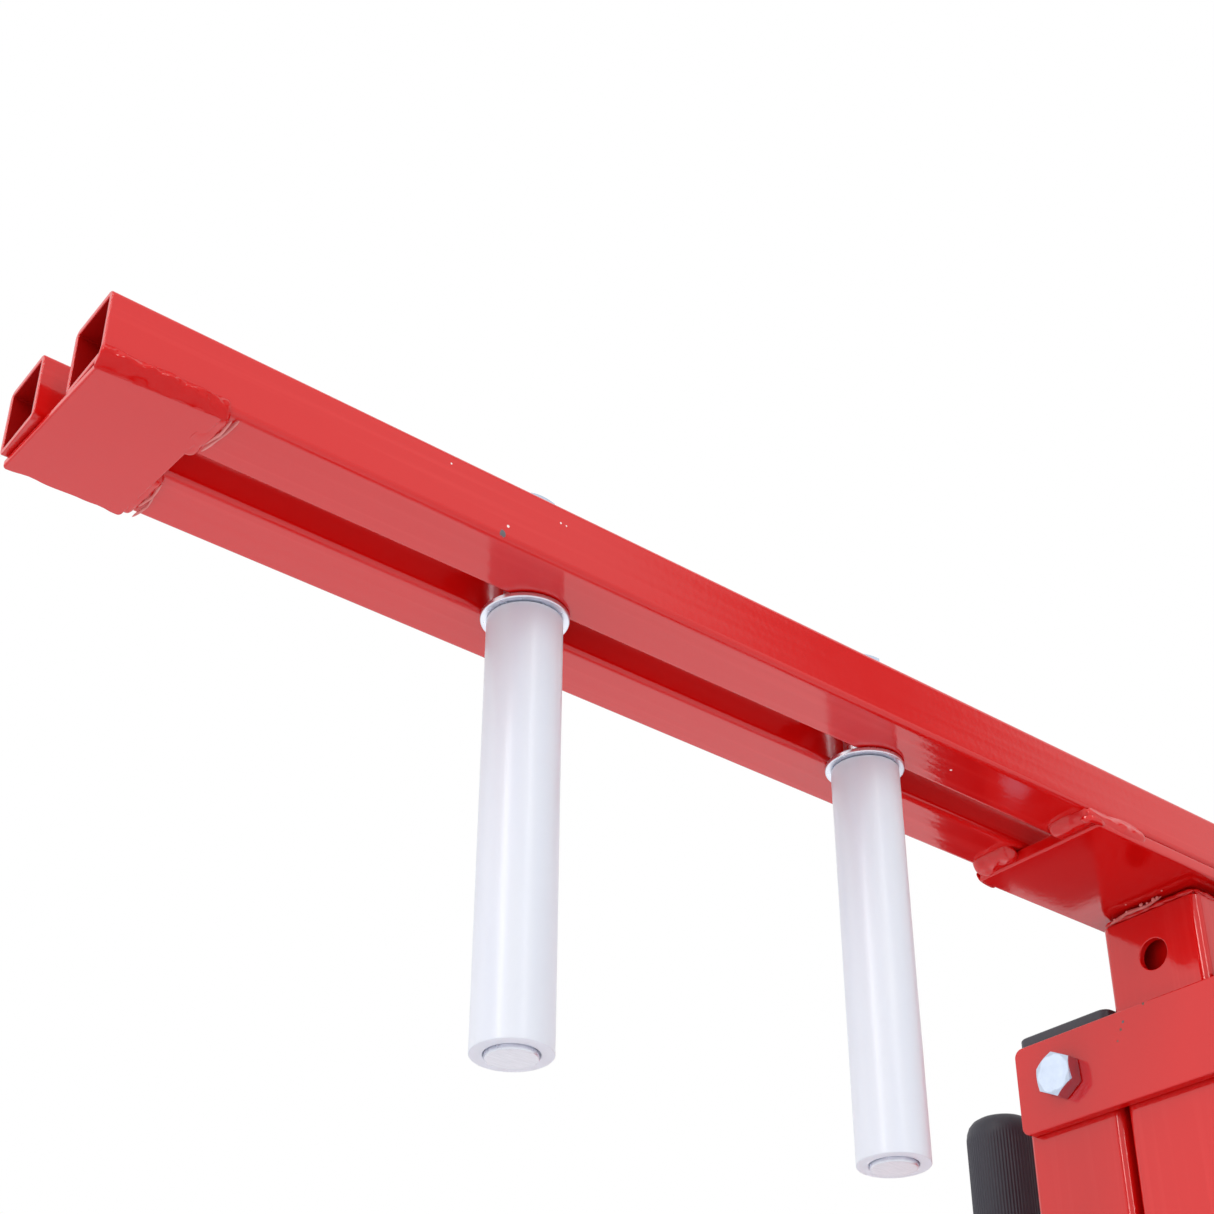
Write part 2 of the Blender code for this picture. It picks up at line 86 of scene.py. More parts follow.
class Nodes:
    """A short way to build the node tree of a material, or of the world."""

    def __init__(self, name, world=None):
        self.material = world or bpy.data.materials.new(name)
        self.material.use_nodes = True
        self.tree = self.material.node_tree
        self.shader = self.tree.nodes["Background" if world else "Principled BSDF"]

    def add(self, kind, **values):
        """Add a node; inputs are set by name, or linked when given a socket."""
        node = self.tree.nodes.new(kind)
        for key, value in values.items():
            if hasattr(node, key):
                setattr(node, key, value)
            else:
                self.feed(node.inputs[key.replace("_", " ")], value)
        return node

    def feed(self, socket, value):
        """Link a socket, or set its plain value."""
        if isinstance(value, bpy.types.NodeSocket):
            self.tree.links.new(value, socket)
        else:
            socket.default_value = value

    def place(self, scale):
        """The piece's own coordinates, in metres, stretched by scale."""
        coordinate = self.add("ShaderNodeTexCoord")
        mapping = self.add("ShaderNodeMapping", Vector=coordinate.outputs["Object"])
        mapping.inputs["Scale"].default_value = scale
        return mapping.outputs["Vector"]

    def noise(self, scale, detail=3.0, roughness=0.5):
        """Noise with one bump per 1/scale metres along each axis."""
        vector = self.place(scale)
        node = self.add(
            "ShaderNodeTexNoise", Vector=vector, Scale=1.0, Detail=detail, Roughness=roughness
        )
        return node.outputs["Fac"]

    def ramp(self, value, low, high):
        """Remap 0..1 to low..high."""
        node = self.add("ShaderNodeMapRange", Value=value)
        node.inputs["To Min"].default_value = low
        node.inputs["To Max"].default_value = high
        return node.outputs["Result"]

    def step(self, value, start, end):
        """0 below start, 1 above end, smooth between."""
        node = self.add("ShaderNodeMapRange", Value=value, interpolation_type="SMOOTHSTEP")
        node.inputs["From Min"].default_value = start
        node.inputs["From Max"].default_value = end
        return node.outputs["Result"]

    def mix(self, factor, first, second):
        """Blend two colours."""
        node = self.add("ShaderNodeMix", data_type="RGBA")
        self.feed(node.inputs["Factor"], factor)
        self.feed(node.inputs["A"], first)
        self.feed(node.inputs["B"], second)
        return [socket for socket in node.outputs if socket.type == "RGBA"][0]

    def math(self, operation, first, second=0.0):
        """One sum on two values."""
        node = self.add("ShaderNodeMath", operation=operation)
        self.feed(node.inputs[0], first)
        self.feed(node.inputs[1], second)
        return node.outputs["Value"]

    def bump(self, height, distance, strength=1.0, under=None):
        """A bump of a height from 0 to 1, distance metres tall."""
        node = self.add("ShaderNodeBump", Height=height, Distance=distance, Strength=strength)
        if under is not None:
            self.feed(node.inputs["Normal"], under)
        return node.outputs["Normal"]

    def surface(self, **values):
        """Set the shader's sockets."""
        for key, value in values.items():
            self.feed(self.shader.inputs[key.replace("_", " ")], value)
        return self.material


def rgb(red, green, blue):
    """A colour with full alpha."""
    return (red, green, blue, 1.0)


def red_paint(name, along, chips=(), sheen_and_ripple=1.0, dark=rgb(0.57, 0.0033, 0.003)):
    """Thick glossy red paint; its long ripples run along one axis, with lighter streaks painted along
    them as reflection.

    A chip is (place, size, colour), its place in the row frame.
    """
    n = Nodes(name)
    stretch = [230.0, 230.0, 230.0]
    stretch["XYZ".index(along)] = 5.0
    cloud = n.noise((9.0, 9.0, 9.0), 2.0)
    colour = n.mix(cloud, dark, rgb(0.62, 0.0045, 0.004))
    # The lighter pinkish streak colour mixed in below is painted reflection; the streak setting scales
    # it and the ripple bumps.
    reflection_streak = n.step(n.noise(stretch, 2.0), 0.52, 0.72)
    colour = n.mix(n.math("MULTIPLY", reflection_streak, 0.5 * sheen_and_ripple), colour, rgb(0.66, 0.017, 0.016))
    rough = n.ramp(n.noise((60.0, 60.0, 60.0), 3.0), 0.07, 0.15)
    for place, size, shade in chips:
        coordinate = n.place((1.0, 1.0, 1.0))
        wobble = n.noise((900.0, 900.0, 900.0), 2.0)
        away = n.add("ShaderNodeVectorMath", operation="DISTANCE")
        n.feed(away.inputs[0], coordinate)
        away.inputs[1].default_value = place
        reach = n.math("ADD", away.outputs["Value"], n.math("MULTIPLY", wobble, size))
        bare = n.step(reach, 1.25 * size, 1.15 * size)
        colour = n.mix(bare, colour, rgb(*shade))
        rough = n.math("ADD", rough, n.math("MULTIPLY", bare, 0.4))
    streaks = n.bump(n.noise(stretch, 1.0), 0.00002 + 0.00008 * sheen_and_ripple, 1.0)
    peel = n.bump(n.noise((420.0, 420.0, 420.0), 2.0), 0.00003, 1.0, streaks)
    return n.surface(Base_Color=colour, Roughness=rough, IOR=1.56, Normal=peel)


def zinc_plate(name, dark, light, low, high, scratch):
    """Bright zinc with faint clouding and fine scratches."""
    n = Nodes(name)
    cloud = n.noise((220.0, 220.0, 220.0), 4.0, 0.6)
    colour = n.mix(cloud, rgb(*dark), rgb(*light))
    rough = n.ramp(n.noise((600.0, 600.0, 600.0), 3.0), low, high)
    grain = n.bump(n.noise(scratch, 2.0), 0.00003)
    return n.surface(Base_Color=colour, Roughness=rough, Metallic=1.0, Normal=grain)


def sawn_steel():
    """Bare steel end with slanting saw marks."""
    n = Nodes("sawn_steel")
    coordinate = n.add("ShaderNodeTexCoord")
    turned = n.add("ShaderNodeMapping", Vector=coordinate.outputs["Object"])
    turned.inputs["Rotation"].default_value = (0.0, 0.0, math.radians(35.0))
    turned.inputs["Scale"].default_value = (260.0, 2600.0, 400.0)
    marks = n.add("ShaderNodeTexNoise", Vector=turned.outputs["Vector"], Scale=1.0, Detail=3.0)
    colour = n.mix(marks.outputs["Fac"], rgb(0.58, 0.59, 0.63), rgb(0.86, 0.87, 0.92))
    rough = n.ramp(marks.outputs["Fac"], 0.42, 0.60)
    cut = n.bump(marks.outputs["Fac"], 0.00006)
    return n.surface(Base_Color=colour, Roughness=rough, Metallic=0.75, Normal=cut)


def frosted_plastic():
    """Clear tube gone milky, with faint lengthwise extrusion lines."""
    n = Nodes("clear_plastic")
    cloud = n.noise((150.0, 150.0, 12.0), 3.0)
    colour = n.mix(cloud, rgb(0.86, 0.895, 1.0), rgb(0.92, 0.945, 1.0))
    rough = n.ramp(n.noise((90.0, 90.0, 30.0), 3.0), 0.285, 0.36)
    lines = n.bump(n.noise((260.0, 260.0, 8.0), 1.0), 0.00005)
    return n.surface(
        Base_Color=colour,
        Roughness=rough,
        IOR=1.48,
        Transmission_Weight=0.34,
        Normal=lines,
    )


def moulded(name, dark, light, low, high, grain_size):
    """Moulded plastic or rubber with a fine grain."""
    n = Nodes(name)
    cloud = n.noise((70.0, 70.0, 70.0), 4.0)
    colour = n.mix(cloud, rgb(*dark), rgb(*light))
    rough = n.ramp(n.noise((500.0, 500.0, 500.0), 3.0), low, high)
    grain = n.bump(n.noise((2400.0, 2400.0, 2400.0), 3.0), grain_size)
    return n.surface(Base_Color=colour, Roughness=rough, Normal=grain)


STEEL_GREY = (0.11, 0.10, 0.11)
RUST = (0.16, 0.07, 0.05)
FLAKE = (0.85, 0.72, 0.70)
BOOM_CHIPS = (
    (at(391.0, 31.3, 2.0), 1.7 * MM, STEEL_GREY),
    (at(389.0, 31.5, 5.6), 0.8 * MM, FLAKE),
    (at(367.7, 31.5, 17.1), 0.6 * MM, FLAKE),
    (at(365.4, 31.5, 17.0), 0.5 * MM, FLAKE),
    (at(412.0, 31.5, 20.0), 0.5 * MM, FLAKE),
    (at(430.5, -6.5, 0.6), 0.9 * MM, STEEL_GREY),
    (at(167.0, 18.8, 0.0), 0.7 * MM, FLAKE),
)
PLATE_CHIPS = (
    (at(30.3, -16.4, -58.4), 1.0 * MM, STEEL_GREY),
    (at(30.3, -18.0, -61.3), 0.8 * MM, RUST),
    (at(30.3, -20.4, -65.8), 0.6 * MM, RUST),
    (at(30.3, -5.1, -53.7), 0.9 * MM, RUST),
)
PAINT_X = red_paint("red_paint_x", "X", BOOM_CHIPS)
PAINT_Y = red_paint("red_paint_y", "Y", PLATE_CHIPS, 0.0)
# Pale pinkish paint: real flaked paint on the spatter and flake on the ram, and painted highlight on the
# thin ridge beads.
FLECK_AND_HIGHLIGHT = moulded("weld_fleck_and_highlight", (0.55, 0.06, 0.05), (0.78, 0.34, 0.32), 0.15, 0.30, 0.00006)
PAINT_Z = red_paint("red_paint_z", "Z", (), 0.6)
PAINT_FLAT = red_paint("red_paint_flat", "Y", (), 0.0)
# Deeper red with lowered specular for the end seam: painted shade on its lower face.
PAINT_SEAM_SHADE = red_paint("red_paint_seam_shade", "Y", (), 0.0, rgb(0.50, 0.0012, 0.001))
PAINT_SEAM_SHADE.node_tree.nodes["Principled BSDF"].inputs["Specular IOR Level"].default_value = 0.26
BRIGHT_ZINC = zinc_plate(
    "bright_zinc", (0.50, 0.57, 0.70), (0.64, 0.72, 0.86), 0.08, 0.20, (900.0, 900.0, 900.0)
)
SAWN_STEEL = sawn_steel()
SLOT_MATERIAL["zinc_plate"] = zinc_plate(
    "zinc_plate", (0.66, 0.68, 0.75), (0.84, 0.86, 0.93), 0.20, 0.40, (2600.0, 2600.0, 900.0)
)
SLOT_MATERIAL["clear_plastic"] = frosted_plastic()
SLOT_MATERIAL["black_plastic"] = moulded(
    "black_plastic", (0.034, 0.032, 0.044), (0.056, 0.053, 0.070), 0.36, 0.50, 0.00003
)
# Darker red for the inside faces of the tubes: painted shade deep inside them, with its specular turned
# down.
INSIDE_PAINTED_SHADE = moulded("red_inside_painted_shade", (0.32, 0.002, 0.002), (0.42, 0.003, 0.002), 0.30, 0.50, 0.00004)
INSIDE_PAINTED_SHADE.node_tree.nodes["Principled BSDF"].inputs["Specular IOR Level"].default_value = 0.15
SLOT_MATERIAL["grip_rubber"] = moulded(
    "grip_rubber", (0.018, 0.017, 0.027), (0.030, 0.028, 0.043), 0.45, 0.62, 0.00004
)
SLOT_MATERIAL["foot_rubber"] = moulded(
    "foot_rubber", (0.020, 0.020, 0.022), (0.035, 0.035, 0.038), 0.60, 0.80, 0.00005
)
SLOT_MATERIAL["tyre_rubber"] = moulded(
    "tyre_rubber", (0.018, 0.018, 0.019), (0.032, 0.031, 0.030), 0.65, 0.85, 0.00006
)
SLOT_MATERIAL["hub_plastic"] = moulded(
    "hub_plastic", (0.26, 0.27, 0.29), (0.33, 0.34, 0.36), 0.38, 0.52, 0.00003
)

# -------------------------------------------------------------- mesh building
TURN = {
    "X": Matrix(((0, 0, 1), (1, 0, 0), (0, 1, 0))).to_4x4(),
    "Y": Matrix(((0, 1, 0), (0, 0, 1), (1, 0, 0))).to_4x4(),
    "Z": Matrix.Identity(4),
}


def local_size(node, axis):
    """Centre of a node's box, and its width, depth and length with the length along axis."""
    low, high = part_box(node)
    size = high - low
    order = {"X": (1, 2, 0), "Y": (2, 0, 1), "Z": (0, 1, 2)}[axis]
    return 0.5 * (low + high), [size[i] for i in order]


def body_of(node):
    """The body that a CAD node rides on."""
    for body, members in frame["record"]["behaviour"]["bodies"].items():
        if node in members:
            return body
    raise KeyError(node)


def make(name, builder, body, slot, nodes=(), material=None, sharp=38.0, second=None):
    """Turn a bmesh, already in the row frame, into a piece; second is a second material."""
    bmesh.ops.recalc_face_normals(builder, faces=builder.faces)
    mesh = bpy.data.meshes.new(name)
    builder.to_mesh(mesh)
    builder.free()
    for face in mesh.polygons:
        face.use_smooth = True
    mesh.set_sharp_from_angle(angle=math.radians(sharp))
    piece = bpy.data.objects.new(name, mesh)
    bpy.context.scene.collection.objects.link(piece)
    weighted = piece.modifiers.new("weighted", "WEIGHTED_NORMAL")
    weighted.keep_sharp = True
    mesh.materials.append(material or SLOT_MATERIAL[slot])
    if second:
        mesh.materials.append(second)
    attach(piece, body)
    if nodes:
        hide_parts(*nodes)
    return piece


def loft(rings, closed=False):
    """Skin a row of rings that all have the same number of points."""
    builder = bmesh.new()
    rows = [[builder.verts.new(point) for point in ring] for ring in rings]
    count = len(rows[0])
    last = len(rows) if closed else len(rows) - 1
    for index in range(last):
        here = rows[index]
        there = rows[(index + 1) % len(rows)]
        for step in range(count):
            other = (step + 1) % count
            builder.faces.new((here[step], here[other], there[other], there[step]))
    if not closed:
        builder.faces.new(rows[0])
        builder.faces.new(list(reversed(rows[-1])))
    return builder


def placed(builder, axis, centre):
    """Turn a piece built along Z onto an axis and move it to its centre."""
    builder.transform(Matrix.Translation(centre) @ TURN[axis])
    return builder


def rounded(width, depth, radius, z, steps=6, divide=1):
    """A level rectangle with rounded corners; divide cuts up its straight sides."""
    ring = []
    for corner in range(4):
        cx = (0.5 * width - radius) * (1 if corner in (0, 3) else -1)
        cy = (0.5 * depth - radius) * (1 if corner in (0, 1) else -1)
        for step in range(steps + 1):
            angle = math.pi / 2.0 * (corner + step / steps)
            ring.append(Vector((cx + radius * math.cos(angle), cy + radius * math.sin(angle), z)))
        following = (corner + 1) % 4
        nx = (0.5 * width - radius) * (1 if following in (0, 3) else -1)
        ny = (0.5 * depth - radius) * (1 if following in (0, 1) else -1)
        angle = math.pi / 2.0 * (corner + 1)
        target = Vector((nx + radius * math.cos(angle), ny + radius * math.sin(angle), z))
        start = ring[-1]
        for cut in range(1, divide):
            ring.append(start.lerp(target, cut / divide))
    return ring


def circle(radius, z, count=48):
    """A level ring of points."""
    turn = 2.0 * math.pi / count
    return [Vector((radius * math.cos(turn * i), radius * math.sin(turn * i), z)) for i in range(count)]


def arc_steps(edge, steps=3):
    """Inset and height along a rounded edge, from its end face to its side."""
    turn = math.pi / 2.0 / steps
    return [(edge * (1 - math.sin(turn * k)), edge * (1 - math.cos(turn * k))) for k in range(steps + 1)]


def slab(width, depth, radius, thick, edge, divide=1):
    """A plate with rounded corners and rounded edges, centred on the origin."""
    half = 0.5 * thick
    rings = []
    for sign in (-1, 1):
        arc = arc_steps(edge)
        if sign > 0:
            arc = list(reversed(arc))
        for inset, height in arc:
            corner = max(radius - inset, 0.2 * MM)
            z = sign * (half - height)
            rings.append(rounded(width - 2 * inset, depth - 2 * inset, corner, z, divide=divide))
    return loft(rings)


def square_tube(width, depth, radius, wall, length, edge):
    """An open square tube along Z with rounded cut edges, centred on the origin."""
    half = 0.5 * length
    inner = max(radius - wall, 0.5 * MM)
    rings = []
    for inset, height in arc_steps(edge):
        rings.append(rounded(width - 2 * inset, depth - 2 * inset, radius - 0.5 * inset, height - half))
    for inset, height in reversed(arc_steps(edge)):
        rings.append(rounded(width - 2 * inset, depth - 2 * inset, radius - 0.5 * inset, half - height))
    for inset, height in arc_steps(edge):
        size = 2 * (inset - wall)
        rings.append(rounded(width + size, depth + size, inner, half - height))
    for inset, height in reversed(arc_steps(edge)):
        size = 2 * (inset - wall)
        rings.append(rounded(width + size, depth + size, inner, height - half))
    builder = loft(rings, closed=True)
    # Inside faces away from the cut ends take the second material, the darker red painted as shade
    # inside the tube.
    deep = 0.5 * length - 2.0 * edge
    for face in builder.faces:
        middle = face.calc_center_median()
        inside_x = abs(middle.x) < 0.5 * (width - wall)
        inside_y = abs(middle.y) < 0.5 * (depth - wall)
        if inside_x and inside_y and abs(middle.z) < deep:
            face.material_index = 1
    return builder


def lathe(profile, count=48, closed=False):
    """Turn (radius, height) points about Z."""
    return loft([circle(radius, z, count) for radius, z in profile], closed)


def tube_piece(node, axis, radius, wall, edge, material):
    """Replace a square tube node with a finer one."""
    centre, (width, depth, length) = local_size(node, axis)
    builder = square_tube(width, depth, radius, wall, length, edge)
    placed(builder, axis, centre)
    body = body_of(node)
    return make(f"{node}_fine", builder, body, "red_paint", [node], material, second=INSIDE_PAINTED_SHADE)


def plate_piece(node, axis, radius, edge, slot, material=None):
    """Replace a plate or block node with one whose edges are rounded."""
    centre, (width, depth, length) = local_size(node, axis)
    builder = slab(width, depth, radius, length, edge)
    name = f"{node}_fine"
    return make(name, placed(builder, axis, centre), body_of(node), slot, [node], material)


def carve(piece, builder):
    """Cut a closed shape out of a piece for good."""
    bmesh.ops.recalc_face_normals(builder, faces=builder.faces)
    mesh = bpy.data.meshes.new("cutter")
    builder.to_mesh(mesh)
    builder.free()
    cutter = bpy.data.objects.new("cutter", mesh)
    bpy.context.scene.collection.objects.link(cutter)
    boolean = piece.modifiers.new("hole", "BOOLEAN")
    boolean.operation = "DIFFERENCE"
    boolean.solver = "EXACT"
    boolean.object = cutter
    piece.modifiers.move(len(piece.modifiers) - 1, 0)
    for modifier in piece.modifiers:
        modifier.show_viewport = modifier.name == "hole"
    graph = bpy.context.evaluated_depsgraph_get()
    result = bpy.data.meshes.new_from_object(piece.evaluated_get(graph))
    old = piece.data
    piece.modifiers.remove(boolean)
    piece.data = result
    for modifier in piece.modifiers:
        modifier.show_viewport = True
    bpy.data.meshes.remove(old)
    bpy.data.objects.remove(cutter)
    bpy.data.meshes.remove(mesh)
    for face in result.polygons:
        face.use_smooth = True
    result.set_sharp_from_angle(angle=math.radians(38.0))
    return piece


# ----------------------------------------------------------------- weld beads
def resample(points, gap=1.2 * MM):
    """Points along a bent line, about gap apart."""
    samples = []
    for start, end in zip(points, points[1:]):
        start = Vector(start)
        end = Vector(end)
        count = max(2, int((end - start).length / gap))
        samples.extend(start.lerp(end, i / count) for i in range(count))
    samples.append(Vector(points[-1]))
    return samples


def smooth_piece(piece):
    """Round a lumpy piece off with one subdivision."""
    smooth = piece.modifiers.new("fine", "SUBSURF")
    smooth.levels = 1
    smooth.render_levels = 1
    piece.modifiers.move(1, 0)
    return piece


def bead(
    name, body, points, outward, height, width, seed, lump=0.30, ripple=0.007, bell=1.0, material=None
):
    """A lumpy painted weld bead along a row of points.

    Bell is the shape across it: under 1 boxy, 1 round, 2 fading into the metal.
    """
    samples = resample(points)
    total = len(samples)
    out = Vector(outward).normalized()
    rings = []
    travelled = 0.0
    for index, point in enumerate(samples):
        before = samples[max(index - 2, 0)]
        after = samples[min(index + 2, total - 1)]
        along = (after - before).normalized()
        across = along.cross(out).normalized()
        normal = across.cross(along).normalized()
        if index:
            travelled += (point - samples[index - 1]).length
        end_share = min(1.0, min(index, total - 1 - index) / 3.0)
        fade = math.sqrt(max(0.03, 1.0 - (1.0 - end_share) ** 2))
        wave = noise.noise(Vector((travelled / ripple, seed * 7.3, 0.0)))
        wander = noise.noise(Vector((travelled / (2.2 * ripple), seed * 3.1, 5.0)))
        grow = fade * (1.0 + lump * wave)
        ring = []
        for step in range(17):
            share = -1.0 + step / 8.0
            rise = max(0.0, math.cos(0.5 * math.pi * share)) ** bell
            ripples = Vector((travelled / 0.004, 2.0 * share + seed, 1.0))
            rise *= height * grow * (1.0 + 0.6 * lump * noise.noise(ripples))
            ring.append(point + normal * rise + across * (width * (grow * share + 0.2 * wander)))
        root = point - normal * 0.5 * MM * fade
        for share in (0.7, 0.0, -0.7):
            ring.append(root + across * (width * (grow * share + 0.2 * wander)))
        rings.append(ring)
    piece = make(name, loft(rings), body, "red_paint", (), material or PAINT_FLAT, sharp=80.0)
    return smooth_piece(piece)


def spatter(name, body, spots, material):
    """Small round drops thrown off by the welding; each spot is (place, radius)."""
    builder = bmesh.new()
    for index, (place, radius) in enumerate(spots):
        drop = bmesh.ops.create_icosphere(builder, subdivisions=2, radius=radius)
        for vertex in drop["verts"]:
            push = noise.noise(vertex.co * (0.8 / radius) + Vector((index, 0.0, 0.0)))
            vertex.co = Vector(place) + vertex.co * (1.0 + 0.5 * push)
    return make(name, builder, body, "red_paint", (), material, sharp=80.0)


# ----------------------------------------------------------------------- boom
TUBE_CORNER = 2.5 * MM
TUBE_WALL = 2.0 * MM
for side, _ in SIDES:
    tube_piece(f"boom_tube_{side}", "X", TUBE_CORNER, TUBE_WALL, 0.35 * MM, PAINT_X)

END_PLATE_THICK = 2.6 * MM
END_PLATE_CORNERS = {
    ("rear", "far"): at(494.2, -31.5, -2.9),
    ("rear", "near"): at(491.5, 30.8, -3.1),
    ("front", "far"): at(533.4, -31.5, -3.1),
    ("front", "near"): at(530.8, 28.2, -3.2),
}


def end_plate():
    """Plate under the free end, cut by hand: a little askew, with a ragged far edge."""
    corner = {key: Vector(value) for key, value in END_PLATE_CORNERS.items()}
    width, depth = 42.0 * MM, 62.0 * MM
    builder = slab(width, depth, 1.4 * MM, END_PLATE_THICK, 0.7 * MM, divide=16)
    for vertex in builder.verts:
        x, y, z = vertex.co
        front = 0.5 + x / width
        near = 0.5 + y / depth
        rear_edge = corner["rear", "far"].lerp(corner["rear", "near"], near)
        front_edge = corner["front", "far"].lerp(corner["front", "near"], near)
        place = rear_edge.lerp(front_edge, front)
        ragged = noise.noise(Vector((x * 130.0, 2.0, 0.0))) * 1.3 * MM
        place.y += ragged * max(0.0, 1.0 - 6.0 * near)
        place.z += z + 0.5 * END_PLATE_THICK
        vertex.co = place
    return make("end_plate_fine", builder, "ram", "red_paint", ["end_plate"], PAINT_FLAT)


def end_seam():
    """Broad weld between the near tube's side and the end plate's near edge, in red painted deeper as
    shade.
    """
    samples = resample([at(531.6, 0.0, 0.0), at(490.2, 0.0, 0.0)], 1.0 * MM)
    total = len(samples)
    rings = []
    for index, sample in enumerate(samples):
        share = index / (total - 1)
        edge = (27.4 + 2.8 * share) * MM
        upper = (3.6 + 0.8 * share + 0.8 * noise.noise(Vector((share * 5.0, 1.0, 0.0)))) * MM
        lower = (-3.5 + 0.1 * share) * MM
        edge += 1.6 * MM * noise.noise(Vector((share * 7.0, 2.0, 0.0)))
        bulge = (2.2 + 0.9 * noise.noise(Vector((share * 6.0, 3.0, 0.0)))) * MM
        ends = min(1.0, 4.0 * min(share + 0.04, 1.04 - share)) ** 0.5
        ring = []
        for step in range(15):
            t = step / 14.0
            lean = max(0.0, (t - 0.30) / 0.70) ** 2.0
            base = 31.45 * MM + (edge - 31.45 * MM) * lean
            dimple = 1.3 * MM * noise.noise(Vector((share * 12.0, 3.0 * t, 4.0)))
            out = ends * (bulge * math.sin(math.pi * t) ** 1.1 + dimple * math.sin(math.pi * t))
            ring.append(Vector((sample.x, base + out, BOOM_Z + upper + (lower - upper) * t)))
        for y, z in ((edge - 1.0 * MM, -1.8 * MM), (30.2 * MM, 0.6 * MM), (30.4 * MM, 2.6 * MM)):
            ring.append(Vector((sample.x, y, BOOM_Z + z)))
        rings.append(ring)
    seam = make("weld_end_near", loft(rings), "ram", "red_paint", (), PAINT_SEAM_SHADE, sharp=80.0)
    return smooth_piece(seam)


end_plate()
end_seam()
plate_piece("saddle_plate", "Z", 1.6 * MM, 1.1 * MM, "red_paint", PAINT_FLAT)

NEAR = (0.0, 1.0, 0.0)
FAR = (0.0, -1.0, 0.0)
DOWN_REAR = (-0.7, 0.0, -1.0)
DOWN_FRONT = (0.7, 0.0, -1.0)
DOWN_NEAR = (0.5, 0.6, -0.8)
# name, path in millimetres, (facing, height, half width, lump, ripple, bell)
BOOM_BEADS = (
    (
        "end_far",
        ((528, -31.2, -0.6), (494, -31.2, -0.4)),
        (FAR, 0.7, 1.6, 0.4, 9, 1.0),
    ),
    (
        "end_inner_near",
        ((490.9, 31.2, -0.5), (491.4, 20, -0.5), (492.0, 6.8, -0.5)),
        (DOWN_REAR, 2.5, 4.4, 0.3, 8, 1.7),
    ),
    (
        "end_inner_far",
        ((492.8, -7.4, -0.5), (493.6, -20, -0.5), (494.0, -31.2, -0.5)),
        (DOWN_REAR, 2.5, 4.4, 0.3, 8, 1.7),
    ),
    (
        "ridge_near",
        ((488.6, 30.6, -2.4), (488.4, 23, -2.2), (490.6, 15, -2.6)),
        (DOWN_REAR, 0.5, 0.28, 0.6, 4, 1.0),
    ),
    (
        "ridge_near_low",
        ((486.2, 30.4, -0.8), (487.0, 22, -1.2), (489.0, 12, -2.0)),
        (DOWN_REAR, 0.5, 0.25, 0.6, 4, 1.0),
    ),
    (
        "ridge_far",
        ((491.0, -9.4, -2.3), (490.4, -17, -2.2), (492.0, -24, -2.5)),
        (DOWN_REAR, 0.5, 0.28, 0.6, 4, 1.0),
    ),
    (
        "ridge_far_low",
        ((490.0, -17, -1.4), (488.8, -24, -0.9), (490.6, -31.2, -1.6)),
        (DOWN_REAR, 0.5, 0.25, 0.6, 4, 1.0),
    ),
    (
        "saddle_side",
        ((101.0, 31.2, -1.4), (90, 31.3, -1.4), (76, 31.3, -1.6), (64, 31.2, -2.2)),
        (NEAR, 1.6, 4.0, 0.3, 10, 1.5),
    ),
    (
        "saddle_corner",
        ((101.6, 28.0, -3.6), (98.6, 32.0, -4.0), (92.0, 32.4, -4.8)),
        (DOWN_NEAR, 1.5, 1.9, 0.4, 4, 1.0),
    ),
    (
        "saddle_near",
        ((98.0, 32.4, -1.6), (98.6, 22, -1.6), (98.4, 10.0, -1.4)),
        (DOWN_FRONT, 2.8, 5.0, 0.25, 9, 0.9),
    ),
    (
        "saddle_far",
        ((98.0, -8.8, -1.4), (98.6, -20, -1.6), (96.0, -31.6, -1.8)),
        (DOWN_FRONT, 3.2, 5.6, 0.35, 8, 0.9),
    ),
    (
        "saddle_far_edge",
        ((97.0, -31.8, -3.0), (84.0, -31.8, -3.4)),
        (FAR, 1.6, 3.4, 0.4, 7, 0.9),
    ),
    (
        "saddle_rear",
        ((-40.4, 31.0, -1.6), (-40.4, 8.0, -1.6)),
        (DOWN_REAR, 2.4, 4.0, 0.35, 7, 1.0),
    ),
    (
        "saddle_rear_far",
        ((-40.4, -8.0, -1.6), (-40.4, -31.0, -1.6)),
        (DOWN_REAR, 2.4, 4.0, 0.35, 7, 1.0),
    ),
)
# The ridge beads get the pale paint as painted highlight along them; the other beads keep the flat red.
for number, (name, path, shape) in enumerate(BOOM_BEADS):
    facing, height, width, lump, ripple, bell = shape
    bead(
        f"weld_{name}",
        "ram",
        [at(*point) for point in path],
        facing,
        height * MM,
        width * MM,
        1.0 + number,
        lump=lump,
        ripple=ripple * MM,
        bell=bell,
        material=FLECK_AND_HIGHLIGHT if "ridge" in name else None,
    )

# ------------------------------------------------------------------- ram post
POST_CORNER = 4.0 * MM
POST_WALL = 3.0 * MM
HOLE_R = 7.0 * MM
HOLE_DROP = 31.0 * MM       # hole's axis below the boom
LID = 4.0 * MM
LID_OVERLAP = 2.0 * MM      # how far the lid reaches down into the tube
BACKING_DEPTH = 8.5 * MM    # plates seen through the hole, behind the face
BACKING_TURN = math.radians(16.0)


def hole_cutter(radius, edge, length):
    """A long pin whose two ends flare out, for a hole with a soft rim."""
    half = 0.5 * length
    profile = [(0.05 * MM, -half - 5 * MM), (radius + edge, -half - 5 * MM)]
    profile += [(radius + inset, -half + height) for inset, height in reversed(arc_steps(edge))][::-1]
    profile += [(radius + inset, half - height) for inset, height in reversed(arc_steps(edge))]
    profile += [(radius + edge, half + 5 * MM), (0.05 * MM, half + 5 * MM)]
    return lathe(profile, 40)


